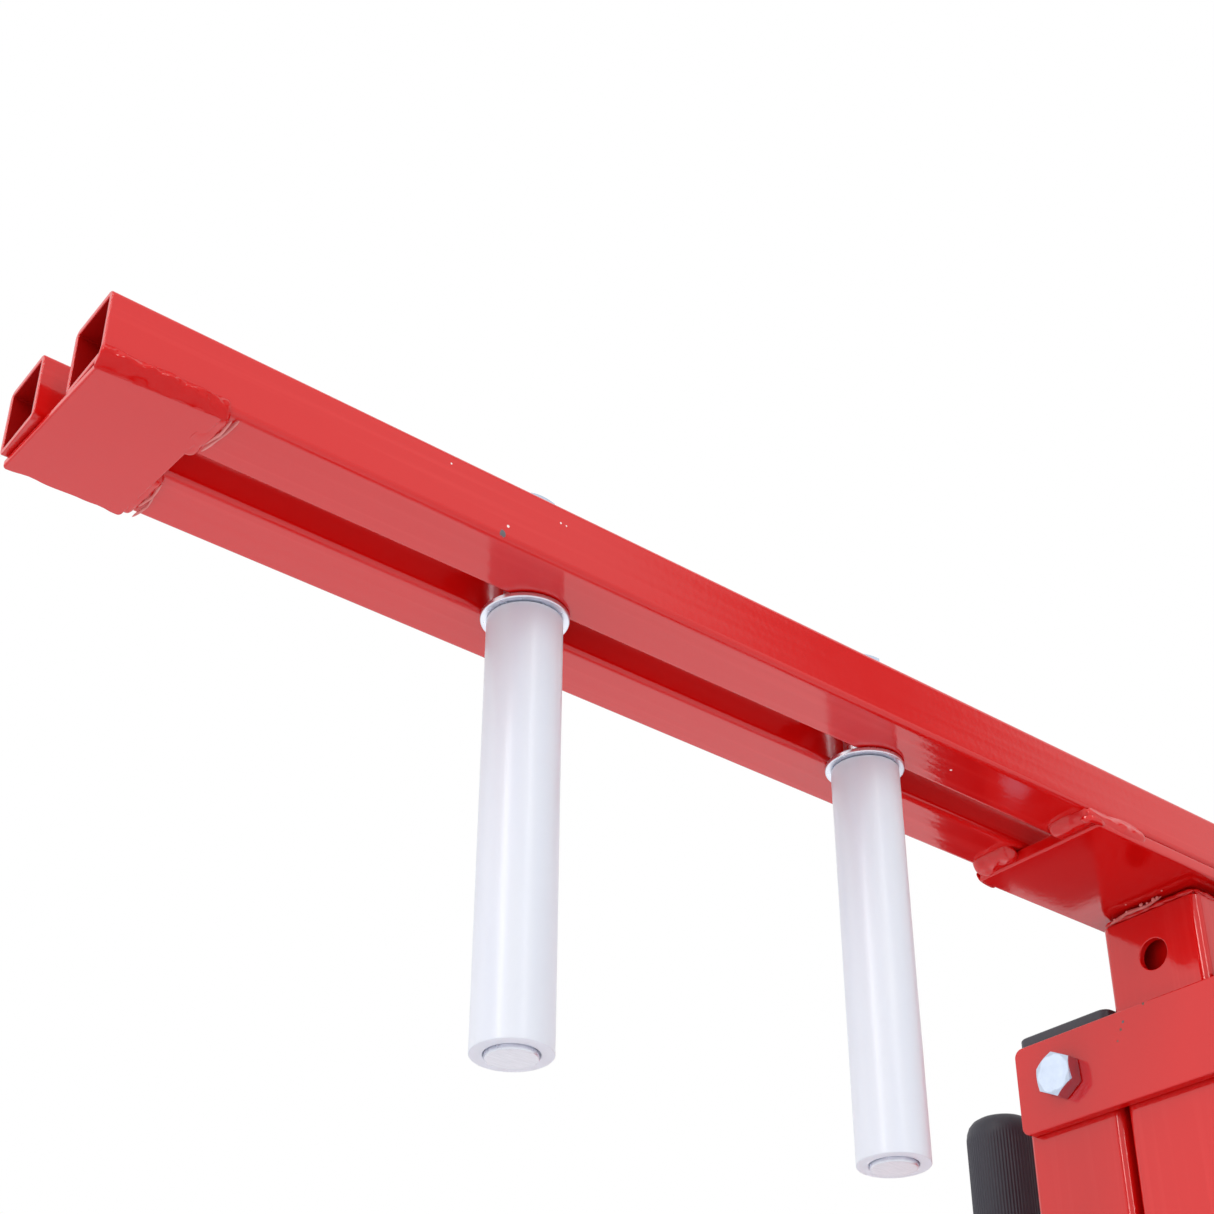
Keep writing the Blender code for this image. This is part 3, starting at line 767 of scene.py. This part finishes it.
def ram_post():
    """Square tube with a lid let in under the saddle and a cross hole near its top."""
    centre, (width, depth, length) = local_size("ram_post", "Z")
    builder = square_tube(width, depth, POST_CORNER, POST_WALL, length - LID, 0.5 * MM)
    middle = Vector((centre.x, centre.y, centre.z - 0.5 * LID))
    post = make("ram_post_fine", placed(builder, "Z", middle), "ram", "red_paint", ["ram_post"], PAINT_Z)
    hole = Vector((centre.x, centre.y, BOOM_Z - HOLE_DROP))
    carve(post, placed(hole_cutter(HOLE_R, 0.5 * MM, width), "X", hole))
    for label, sign in (("front", 1), ("rear", -1)):
        backing = placed(slab(26 * MM, 32 * MM, 4 * MM, 2 * MM, 0.8 * MM), "X", (0.0, 0.0, 0.0))
        backing.transform(Matrix.Rotation(-sign * BACKING_TURN, 4, "Z"))
        offset = Vector((sign * (0.5 * width - BACKING_DEPTH), 0.0, 0.0))
        backing.transform(Matrix.Translation(hole + offset))
        make(f"ram_backing_{label}", backing, "ram", "red_paint", (), PAINT_Z)
    thick = LID + LID_OVERLAP
    top = slab(width - 6 * MM, depth - 6 * MM, 3 * MM, thick, 0.4 * MM)
    place = Vector((centre.x, centre.y, centre.z + 0.5 * (length - thick)))
    make("ram_lid", placed(top, "Z", place), "ram", "red_paint", (), PAINT_X)


ram_post()

ram_top = ram_high.z - 4.0 * MM
reach = 0.5 * (ram_high.x - ram_low.x) - 1.5 * MM
corners = [
    (MAST_X + reach, reach),
    (MAST_X + reach, -reach),
    (MAST_X - reach, -reach),
    (MAST_X - reach, reach),
]
for index, (x, y) in enumerate(corners):
    nx, ny = corners[(index + 1) % 4]
    middle = Vector((0.5 * (x + nx) - MAST_X, 0.5 * (y + ny), 0.0)).normalized()
    bead(
        f"weld_ram_{index + 1}",
        "ram",
        [(x, y, ram_top + 1.6 * MM), (nx, ny, ram_top + 1.6 * MM)],
        (middle.x, middle.y, -0.4),
        0.9 * MM,
        1.5 * MM,
        20.0 + index,
        lump=0.8,
        ripple=0.004,
    )

DROPS = (
    (25.0, -16.5, -9.0, 0.5), (25.2, -9.5, -8.0, 0.7), (25.2, -1.5, -7.6, 0.8), (25.8, 2.0, -8.2, 0.5),
    (25.2, 5.0, -7.4, 1.0), (26.0, 7.5, -7.9, 0.7), (27.8, 11.5, -6.5, 0.4), (28.6, -7.0, -6.4, 0.3),
)
drops = [(at(x + 0.9, y, z), size * MM) for x, y, z, size in DROPS]
spatter("ram_spatter", "ram", drops, FLECK_AND_HIGHLIGHT)
bead(
    "ram_flake",
    "ram",
    [at(24.6, -20.0, -9.8), at(25.2, -10.0, -8.2), at(24.9, 0.0, -8.4), at(25.6, 9.0, -7.2)],
    (1.0, 0.0, -0.7),
    1.1 * MM,
    0.8 * MM,
    31.0,
    lump=0.9,
    ripple=0.004,
    material=FLECK_AND_HIGHLIGHT,
)

# ----------------------------------------------------------------------- mast
for side, sign in SIDES:
    node = f"mast_tube_{side}"
    tube_piece(node, "Z", POST_CORNER, POST_WALL, 0.5 * MM, PAINT_Z)


CAP_EDGE = 1.3 * MM


def mast_cap(node, axis, way):
    """Push-in cap with a domed edge."""
    centre, (width, depth, length) = local_size(node, axis)
    low = -0.5 * length
    flange = 5.2 * MM if "mast" in node else 4.0 * MM
    plug = width - 6.6 * MM
    rings = [
        rounded(plug - 1 * MM, plug - 1 * MM, 1.4 * MM, low),
        rounded(plug, plug, 1.4 * MM, low + length - flange),
    ]
    rings.append(rounded(width - 0.8 * MM, depth - 0.8 * MM, POST_CORNER, low + length - flange))
    rings.append(rounded(width, depth, POST_CORNER, low + length - flange + 0.5 * MM))
    for step in range(5):
        angle = math.pi / 2.0 * step / 4
        inset = CAP_EDGE * (1 - math.cos(angle))
        z = low + length - CAP_EDGE + CAP_EDGE * math.sin(angle)
        rings.append(rounded(width - 2 * inset, depth - 2 * inset, POST_CORNER, z))
    builder = loft(rings)
    if way < 0:
        builder.transform(Matrix.Rotation(math.pi, 4, "X"))
    return make(f"{node}_fine", placed(builder, axis, centre), "frame", "black_plastic", [node])


for side, sign in SIDES:
    mast_cap(f"mast_cap_{side}", "Z", 1)

for node in ("front_plate", "rear_plate", "lower_strap_front", "lower_strap_rear"):
    plate_piece(node, "X", 4.0 * MM, 0.6 * MM, "red_paint", PAINT_Y)


# ------------------------------------------------------------------ fasteners
def hexagon(across, z, phase, count=48, cone=None):
    """A hexagonal ring; cone = (radius, height) drops its corners as a turned chamfer does."""
    ring = []
    for i in range(count):
        angle = 2.0 * math.pi * i / count
        inside = (angle + math.pi / 6.0) % (math.pi / 3.0) - math.pi / 6.0
        radius = 0.5 * across / math.cos(inside)
        drop = 0.0
        if cone:
            drop = max(0.0, radius - cone[0]) * math.tan(math.radians(30.0)) * cone[1]
        ring.append(
            Vector((radius * math.cos(angle + phase), radius * math.sin(angle + phase), z - drop))
        )
    return ring


def spin(ring, phase):
    """A ring turned about Z."""
    return [Matrix.Rotation(phase, 3, "Z") @ point for point in ring]


def threads(radius, low, high, pitch=1.75 * MM, depth=0.9 * MM):
    """Profile of a threaded length, from low to high."""
    profile = []
    turns = int((high - low) / pitch)
    step = (high - low) / turns
    for turn in range(turns):
        base = low + turn * step
        profile.append((radius - depth, base + 0.10 * step))
        profile.append((radius, base + 0.45 * step))
        profile.append((radius, base + 0.60 * step))
        profile.append((radius - depth, base + 0.95 * step))
    return profile


AF = 18.0 * MM
BOLT_R = 6.0 * MM


def bolt(node, axis, way, phase):
    """Hex bolt whose head points along the axis, threaded at its far end."""
    centre, (_, _, length) = local_size(node, axis)
    head = 7.5 * MM
    top = 0.5 * length
    under = top - head
    cone = (0.475 * AF, 1.0)
    rings = [
        spin(circle(0.30 * AF, top - 0.25 * MM), phase),
        spin(circle(0.34 * AF, top), phase),
        spin(circle(0.46 * AF, top), phase),
        hexagon(AF - 0.2 * MM, top - 0.1 * MM, phase, cone=cone),
        hexagon(AF, top - 0.35 * MM, phase, cone=cone),
        hexagon(AF, under + 0.3 * MM, phase),
        hexagon(AF - 0.5 * MM, under, phase),
    ]
    shank = [(BOLT_R, under), (BOLT_R, 0.0)]
    shank += [(r, z) for r, z in reversed(threads(BOLT_R, -0.5 * length + 1.0 * MM, -0.02 * MM))]
    shank.append((BOLT_R - 1.0 * MM, -0.5 * length))
    rings += [spin(circle(r, z), phase) for r, z in shank]
    builder = loft(rings)
    if way < 0:
        builder.transform(Matrix.Rotation(math.pi, 4, "X"))
    return make(
        f"{node}_fine", placed(builder, axis, centre), body_of(node), "zinc_plate", [node], BRIGHT_ZINC
    )


def nut(node, axis, phase):
    """Hex nut with turned chamfers on both faces."""
    centre, (_, _, length) = local_size(node, axis)
    half = 0.5 * length
    cone = (0.475 * AF, 1.0)
    upper = [
        spin(circle(BOLT_R + 0.15 * MM, half - 0.5 * MM), phase),
        spin(circle(BOLT_R + 0.7 * MM, half), phase),
        spin(circle(0.46 * AF, half), phase),
        hexagon(AF, half - 0.1 * MM, phase, cone=cone),
    ]
    lower = [[Vector((p.x, p.y, -p.z)) for p in ring] for ring in reversed(upper)]
    builder = loft(upper + lower, closed=True)
    return make(
        f"{node}_fine", placed(builder, axis, centre), body_of(node), "zinc_plate", [node], BRIGHT_ZINC
    )


def washer(node, bore):
    """Flat washer with softened rims."""
    centre, (width, _, length) = local_size(node, "Z")
    half = 0.5 * length
    outer = 0.5 * width
    profile = []
    for inset, height in arc_steps(0.5 * MM):
        profile.append((outer - inset, half - height))
    for inset, height in reversed(arc_steps(0.5 * MM)):
        profile.append((outer - inset, height - half))
    profile += [(bore, -half), (bore, half)]
    builder = lathe(profile, 64, closed=True)
    return make(f"{node}_fine", placed(builder, "Z", centre), body_of(node), "zinc_plate", [node])


BOLT_PHASE = math.radians(-57.0)
for side, sign in SIDES:
    bolt(f"bolt_{side}", "X", 1, BOLT_PHASE)
    nut(f"nut_{side}", "X", math.radians(20.0 * sign))
    bolt(f"axle_bolt_{side}", "Y", sign, 0.4)
    nut(f"axle_nut_{side}", "Y", 0.2)


# ----------------------------------------------------------------------- pins
PIN_POINTS = 64
KEY_R = 7.7 * MM
KEY_FLAT = 6.3 * MM
SLEEVE_BORE = 8.9 * MM


def pin(end):
    """Rod with a keyed neck through the slot and a threaded stud on top."""
    node = f"pin_{end}"
    centre, (width, _, length) = local_size(node, "Z")
    radius = 0.5 * width
    low = -0.5 * length
    neck = BOOM_Z - 3.1 * MM - centre.z
    thread_start = tube_high.z - 2.0 * MM - centre.z
    rod = [(radius - 0.9 * MM, low), (radius - 0.3 * MM, low + 0.2 * MM)]
    rod += [(radius, low + 0.9 * MM), (radius, neck)]
    rings = [circle(r, z, PIN_POINTS) for r, z in rod]
    for z in (neck, thread_start):
        ring = circle(KEY_R, z, PIN_POINTS)
        rings.append([Vector((p.x, max(-KEY_FLAT, min(KEY_FLAT, p.y)), p.z)) for p in ring])
    stud = [(BOLT_R, thread_start)] + threads(BOLT_R, thread_start + 0.2 * MM, 0.5 * length - 1.0 * MM)
    stud.append((BOLT_R - 1.0 * MM, 0.5 * length))
    rings += [circle(r, z, PIN_POINTS) for r, z in stud]
    builder = loft(rings)
    for face in builder.faces:
        if face.calc_center_median().z < low + 0.15 * MM:
            face.material_index = 1
    return make(
        f"{node}_fine",
        placed(builder, "Z", centre),
        body_of(node),
        "zinc_plate",
        [node],
        second=SAWN_STEEL,
    )


def sleeve(end):
    """Clear plastic tube over the rod, its lower end cut a little off square."""
    node = f"sleeve_{end}"
    centre, (width, _, length) = local_size(node, "Z")
    half = 0.5 * length
    outer = 0.5 * width
    profile = []
    for inset, height in arc_steps(0.45 * MM):
        profile.append((outer - inset, half - height))
    for inset, height in reversed(arc_steps(0.45 * MM)):
        profile.append((outer - inset, height - half))
    for inset, height in arc_steps(0.35 * MM):
        profile.append((SLEEVE_BORE + inset, height - half))
    for inset, height in reversed(arc_steps(0.35 * MM)):
        profile.append((SLEEVE_BORE + inset, half - height))
    builder = lathe(profile, 72, closed=True)
    for vertex in builder.verts:
        share = max(0.0, -vertex.co.z / half) ** 20
        angle = math.atan2(vertex.co.y, vertex.co.x)
        vertex.co.z += share * 0.35 * MM * (1.0 + math.sin(angle + 0.6))
    return make(f"{node}_fine", placed(builder, "Z", centre), body_of(node), "clear_plastic", [node])


LOCK_NUT_TURN = {"front": 30.0, "rear": 12.0}
for end in ENDS:
    pin(end)
    sleeve(end)
    washer(f"pin_washer_{end}", 8.0 * MM)
    washer(f"top_washer_{end}", 6.3 * MM)
    nut(f"pin_nut_{end}", "Z", math.radians(12.0))
    nut(f"lock_nut_{end}", "Z", math.radians(LOCK_NUT_TURN[end]))


# -------------------------------------------------------------------- handles
def handle(side, sign):
    """Bent tube: out of the mast's side, then straight up into the grip."""
    node = f"handle_{side}"
    low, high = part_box(node)
    radius = 0.5 * (high.x - low.x)
    wall = 2.0 * MM
    bend = 30.0 * MM
    start_y = low.y if sign > 0 else high.y
    reach_y = (high.y - radius if sign > 0 else low.y + radius) - start_y
    reach_y = abs(reach_y)
    floor_z = low.z + radius
    rings = []
    for r, flip in ((radius, False), (radius - wall, True)):
        run = []
        base = circle(r, 0.0, 40)
        run.append([Vector((p.x, 0.0, p.y)) for p in base])
        for step in range(17):
            angle = math.pi / 2.0 * step / 16
            cy = reach_y - bend + bend * math.sin(angle)
            cz = bend - bend * math.cos(angle)
            run.append(
                [Vector((p.x, cy - p.y * math.sin(angle), cz + p.y * math.cos(angle))) for p in base]
            )
        run.append([Vector((p.x, reach_y - p.y, high.z - floor_z)) for p in base])
        rings.extend(reversed(run) if flip else run)
    middle_x = 0.5 * (low.x + high.x)
    for ring in rings:
        for p in ring:
            p.x += middle_x
            p.y = start_y + sign * p.y
            p.z += floor_z
    make(f"{node}_fine", loft(rings, closed=True), "frame", "red_paint", [node], PAINT_Z)
    around = radius + 0.2 * MM
    foot_y = start_y + sign * 0.6 * MM
    ring = []
    for step in range(25):
        angle = 2.0 * math.pi * step / 24
        ring.append((middle_x + around * math.cos(angle), foot_y, floor_z + around * math.sin(angle)))
    bead(f"weld_handle_{side}", "frame", ring, (0, sign, 0), 2.0 * MM, 2.4 * MM, 30 + sign, lump=0.3)


def grip(side):
    """Rubber grip with upright ribs and a rounded top."""
    node = f"grip_{side}"
    centre, (width, _, length) = local_size(node, "Z")
    radius = 0.5 * width
    top = 0.5 * length
    ribs = 72
    count = ribs * 5
    profile = [(3.0, 0.0, 0.0), (8.0, 0.3, 0.0), (11.4, 1.1, 0.0), (13.8, 2.5, 0.0), (15.5, 4.6, 0.0)]
    profile += [(16.5, 7.2, 0.0), (16.95, 9.8, 0.1), (17.0, 11.5, 0.6), (17.0, 14.0, 1.0)]
    rows = [(r * MM, top - down * MM, rib) for r, down, rib in profile]
    rows += [(radius, -top + 6.0 * MM, 1.0), (radius, -top + 4.0 * MM, 0.6)]
    rows.append((radius, -top + 3.0 * MM, 0.0))
    rows += [(radius, -top + 0.8 * MM, 0.0), (radius - 0.8 * MM, -top, 0.0)]
    bore = 11.3 * MM
    rows += [(bore, -top, 0.0), (bore, top - 5.5 * MM, 0.0)]
    rings = []
    for r, z, rib in rows:
        ring = []
        for i in range(count):
            angle = 2.0 * math.pi * i / count
            wave = 0.5 - 0.5 * math.cos(ribs * angle)
            dip = 0.32 * MM * rib * wave ** 2
            ring.append(Vector(((r - dip) * math.cos(angle), (r - dip) * math.sin(angle), z)))
        rings.append(ring)
    builder = loft(rings)
    return make(f"{node}_fine", placed(builder, "Z", centre), "frame", "grip_rubber", [node], sharp=50.0)


for side, sign in SIDES:
    handle(side, sign)
    grip(side)

# ----------------------------------------------------------------------- base
LEG_CORNER = 4.0 * MM
LEG_WALL = 2.5 * MM
tube_piece("cross_beam", "Y", LEG_CORNER, LEG_WALL, 0.4 * MM, PAINT_Y)
plate_piece("base_plate", "Z", 8.0 * MM, 0.8 * MM, "red_paint", PAINT_Y)
plate_piece("buffer", "Z", 6.0 * MM, 1.6 * MM, "foot_rubber")
for side, sign in SIDES:
    tube_piece(f"leg_{side}", "X", LEG_CORNER, LEG_WALL, 0.4 * MM, PAINT_X)
    mast_cap(f"leg_cap_{side}_front", "X", 1)
    mast_cap(f"leg_cap_{side}_rear", "X", -1)


def foot(node):
    """Turned rubber foot with a grooved tread."""
    centre, (width, _, length) = local_size(node, "Z")
    radius = 0.5 * width
    low = -0.5 * length
    profile = [(3.0 * MM, low + 1.2 * MM), (6.0 * MM, low + 1.2 * MM), (6.8 * MM, low)]
    profile += [(radius - 1.2 * MM, low), (radius - 0.3 * MM, low + 0.4 * MM), (radius, low + 1.4 * MM)]
    profile += [(radius, low + 9.0 * MM), (radius - 0.5 * MM, low + 10.2 * MM)]
    profile += [(0.8 * radius + 0.5 * MM, -low - 0.5 * MM), (0.8 * radius - 0.2 * MM, -low)]
    return make(
        f"{node}_fine", placed(lathe(profile, 48), "Z", centre), "frame", "foot_rubber", [node]
    )


def bracket(node, axle):
    """Side plate with rounded corners and the axle's hole."""
    _, (_, _, length) = local_size(node, "Y")
    piece = plate_piece(node, "Y", 12.0 * MM, 0.7 * MM, "red_paint", PAINT_X)
    cutter = hole_cutter(6.3 * MM, 0.3 * MM, length)
    return carve(piece, placed(cutter, "Y", axle))


def tyre(node, body):
    """Solid tyre with rounded shoulders and cross grooves."""
    centre, (width, _, length) = local_size(node, "Y")
    radius = 0.5 * width
    half = 0.5 * length
    bore = 32.3 * MM
    count = 288
    profile = [(bore, -half, 0.0), (radius - 9 * MM, -half, 0.0)]
    profile.append((radius - 5 * MM, -half + 0.8 * MM, 0.0))
    profile += [(radius - 1.5 * MM, -half + 3.6 * MM, 0.4), (radius, -half + 7.0 * MM, 1.0)]
    profile += [(radius, -2.0 * MM, 1.0), (radius - 1.4 * MM, -1.2 * MM, 0.0)]
    profile += [(r, -z, g) for r, z, g in reversed(profile)]
    rings = []
    for r, z, groove in profile:
        ring = []
        for i in range(count):
            angle = 2.0 * math.pi * i / count
            shift = 0.05 if z > 0 else 0.0
            wave = math.cos(36.0 * (angle + shift))
            cut = 1.3 * MM * groove * (1.0 if wave > 0.72 else 0.0)
            ring.append(Vector(((r - cut) * math.cos(angle), (r - cut) * math.sin(angle), z)))
        rings.append(ring)
    builder = placed(loft(rings, closed=True), "Y", centre)
    return make(f"{node}_fine", builder, body, "tyre_rubber", [node], sharp=30.0)


def hub(node, body):
    """Moulded hub with a rim, a boss and ribs on both faces."""
    centre, (width, _, length) = local_size(node, "Y")
    half = 0.5 * length
    rim = 0.5 * width
    bore = 6.1 * MM
    profile = [(bore, -half), (11.2 * MM, -half), (12.0 * MM, -half + 0.8 * MM), (12.6 * MM, -4.0 * MM)]
    profile += [(26.8 * MM, -4.0 * MM), (27.6 * MM, -half + 2.4 * MM), (28.2 * MM, -half + 2.0 * MM)]
    profile += [(rim - 0.5 * MM, -half + 2.0 * MM), (rim, -half + 2.6 * MM)]
    profile += [(r, -z) for r, z in reversed(profile)]
    disc = lathe(profile, 72, closed=True)
    make(f"{node}_fine", placed(disc, "Y", centre), body, "hub_plastic", [node])
    for index in range(6):
        for face in (-1, 1):
            rib = slab(15.4 * MM, 3.2 * MM, 0.5 * MM, 6.0 * MM, 0.5 * MM)
            rib.transform(Matrix.Translation((19.6 * MM, 0, face * 6.6 * MM)))
            rib.transform(Matrix.Rotation(math.pi / 3.0 * index, 4, "Z"))
            side = "outer" if face > 0 else "inner"
            name = f"{node}_rib_{side}_{index + 1}"
            make(name, placed(rib, "Y", centre), body, "hub_plastic")


for side, sign in SIDES:
    for end in ENDS:
        foot(f"foot_{side}_{end}")
    axle_centre, _ = local_size(f"wheel_tyre_{side}", "Y")
    bracket_centre, _ = local_size(f"wheel_bracket_{side}", "Y")
    bracket(f"wheel_bracket_{side}", (axle_centre.x, bracket_centre.y, axle_centre.z))
    tyre(f"wheel_tyre_{side}", f"{side}_wheel")
    hub(f"wheel_hub_{side}", f"{side}_wheel")

# --------------------------------------------------------------------- studio
def studio():
    """Pale floor, and white surroundings with one dark gap that only reflections show."""
    builder = bmesh.new()
    bmesh.ops.create_grid(builder, x_segments=1, y_segments=1, size=6.0)
    mesh = bpy.data.meshes.new("floor")
    builder.to_mesh(mesh)
    builder.free()
    floor = bpy.data.objects.new("floor", mesh)
    floor.location = (0, 0, cad_box[0].z - 0.2 * MM)
    bpy.context.scene.collection.objects.link(floor)
    n = Nodes("floor")
    tone = n.mix(n.noise((2.0, 2.0, 2.0), 3.0), rgb(0.90, 0.905, 0.94), rgb(0.93, 0.935, 0.965))
    mesh.materials.append(n.surface(Base_Color=tone, Roughness=0.6))

    world = bpy.data.worlds.new("studio")
    bpy.context.scene.world = world
    n = Nodes("studio", world)
    coordinate = n.add("ShaderNodeTexCoord")
    parts = []
    for axis in (GAP_ACROSS, GAP_ALONG, (0.0, 0.0, 1.0)):
        dot = n.add("ShaderNodeVectorMath", operation="DOT_PRODUCT")
        n.feed(dot.inputs[0], coordinate.outputs["Generated"])
        dot.inputs[1].default_value = axis
        parts.append(dot.outputs["Value"])
    beside = n.step(n.math("ABSOLUTE", parts[0]), 0.13, 0.02)
    ahead = n.math("MULTIPLY", n.step(parts[1], 0.0, 0.2), n.step(parts[2], 0.22, 0.36))
    unseen = n.math("SUBTRACT", 1.0, n.add("ShaderNodeLightPath").outputs["Is Camera Ray"])
    gap = n.math("MULTIPLY", n.math("MULTIPLY", beside, ahead), unseen)
    n.surface(Color=n.mix(gap, rgb(1.0, 1.0, 1.0), rgb(0.24, 0.24, 0.24)))


def soft_light(name, place, target, size, radiance, colour=(1.0, 1.0, 1.0)):
    """A flat light turned towards a point, as bright as radiance says whatever its size."""
    data = bpy.data.lights.new(name, "AREA")
    data.shape = "RECTANGLE"
    data.size, data.size_y = size
    data.energy = math.pi * size[0] * size[1] * radiance
    data.color = colour
    light = bpy.data.objects.new(name, data)
    light.location = place
    light.rotation_euler = (Vector(target) - Vector(place)).to_track_quat("-Z", "Y").to_euler()
    light.visible_camera = False
    bpy.context.scene.collection.objects.link(light)


GAP_TURN = math.radians(137.5)   # where two panels of the surround leave a dark gap
GAP_ALONG = (math.cos(GAP_TURN), math.sin(GAP_TURN), 0.0)
GAP_ACROSS = (math.sin(GAP_TURN), -math.cos(GAP_TURN), 0.0)
WARM = (1.0, 0.985, 0.94)
COOL = (0.92, 0.96, 1.0)
FLOOR_Z = cad_box[0].z

studio()
aim = Vector((MAST_X + 0.28, 0.0, BOOM_Z - 0.06))
soft_light("strip_front", aim + Vector((1.66, 0.50, 1.0)), aim, (0.28, 1.30), 10.0, WARM)
soft_light("strip_side", aim + Vector((0.25, 1.72, 1.0)), aim, (0.14, 1.30), 10.0, WARM)
soft_light("panel_front", aim + Vector((1.44, -1.17, 0.75)), aim, (1.3, 1.3), 0.3)
low = Vector((MAST_X - 0.75, -1.42, FLOOR_Z + 0.02))
soft_light("panel_low", low, low + Vector((0, 0, 1)), (2.3, 1.2), 0.34, COOL)

# --------------------------------------------------------------------- camera
CAMERA_OFFSET = Vector((0.67377, 0.44537, -0.37523))   # from the mast axis and the boom's underside
CAMERA_TURN = math.radians(141.769)
CAMERA_UP = math.radians(30.246)
CAMERA_ROLL = math.radians(0.229)

camera_data = bpy.data.cameras.new("camera")
camera_data.sensor_width = 36.0
camera_data.lens = 57.0
camera_data.shift_y = 0.1277
camera_data.clip_start = 0.02
camera = bpy.data.objects.new("camera", camera_data)
bpy.context.scene.collection.objects.link(camera)
look = Matrix.Rotation(CAMERA_TURN, 4, "Z") @ Matrix.Rotation(math.pi / 2.0 + CAMERA_UP, 4, "X")
camera.matrix_world = (
    Matrix.Translation(Vector((MAST_X, 0.0, BOOM_Z)) + CAMERA_OFFSET)
    @ look
    @ Matrix.Rotation(CAMERA_ROLL, 4, "Z")
)
bpy.context.scene.camera = camera
bpy.context.scene.view_settings.view_transform = "Standard"
